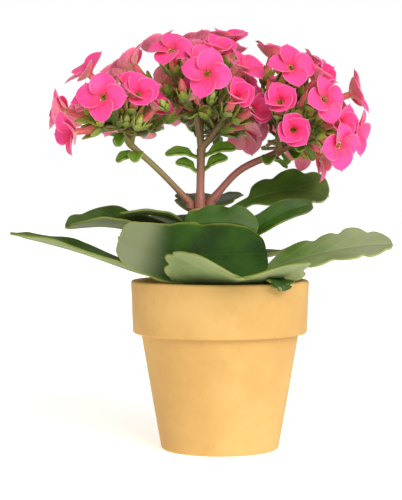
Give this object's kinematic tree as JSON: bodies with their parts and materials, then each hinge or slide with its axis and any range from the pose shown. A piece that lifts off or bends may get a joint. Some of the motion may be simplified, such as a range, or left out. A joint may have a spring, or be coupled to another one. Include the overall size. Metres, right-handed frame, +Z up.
{
  "type": "potted kalanchoe",
  "caption": "Flowering kalanchoe with thick scalloped leaves and a domed head of four-petalled flowers on forked stems, growing in soil in a small tapered round pot.",
  "frame": {"origin": "centre of the pot's underside, on the surface it stands on", "axes": "+Z up along the pot's axis; +X to the plant's right as seen from its front, the side of the long right-hand leaf; the front faces -Y"},
  "size_m": [0.1266, 0.0927, 0.1414],
  "materials": {
    "clay": "matte",
    "soil": "matte",
    "stem": "satin",
    "leaf": "satin",
    "bract": "satin",
    "flower": "satin"
  },
  "bodies": {
    "root": {"bract_high_left": "bract", "bract_high_right": "bract", "bract_left_front": "bract", "bract_left_outer": "bract", "bract_low_left": "bract", "bract_low_right": "bract", "bract_right_front": "bract", "bract_right_outer": "bract", "flower_centre_09": "flower", "flower_centre_10": "flower", "flower_centre_11": "flower", "flower_centre_12": "flower", "flower_centre_13": "flower", "flower_centre_14": "flower", "flower_centre_15": "flower", "flower_centre_16": "flower", "flower_centre_17": "flower", "flower_centre_18": "flower", "flower_centre_19": "flower", "flower_left_01": "flower", "flower_left_02": "flower", "flower_left_03": "flower", "flower_left_04": "flower", "flower_left_05": "flower", "flower_left_06": "flower", "flower_left_07": "flower", "flower_left_08": "flower", "flower_right_20": "flower", "flower_right_21": "flower", "flower_right_22": "flower", "flower_right_23": "flower", "flower_right_24": "flower", "flower_right_25": "flower", "flower_right_26": "flower", "flower_right_27": "flower", "flower_right_28": "flower", "flower_right_29": "flower", "flower_right_30": "flower", "flower_right_31": "flower", "leaf_back": "leaf", "leaf_back_left": "leaf", "leaf_back_low": "leaf", "leaf_back_right": "leaf", "leaf_crown_front": "leaf", "leaf_crown_left": "leaf", "leaf_folded_right": "leaf", "leaf_front": "leaf", "leaf_front_folded": "leaf", "leaf_long_left": "leaf", "leaf_over_rim": "leaf", "leaf_right": "leaf", "leaf_upper_left": "leaf", "leaf_upper_right": "leaf", "main_stem": "stem", "peduncle_centre": "stem", "peduncle_left": "stem", "peduncle_right": "stem", "pot": "clay", "soil": "soil"}
  },
  "joints": []
}
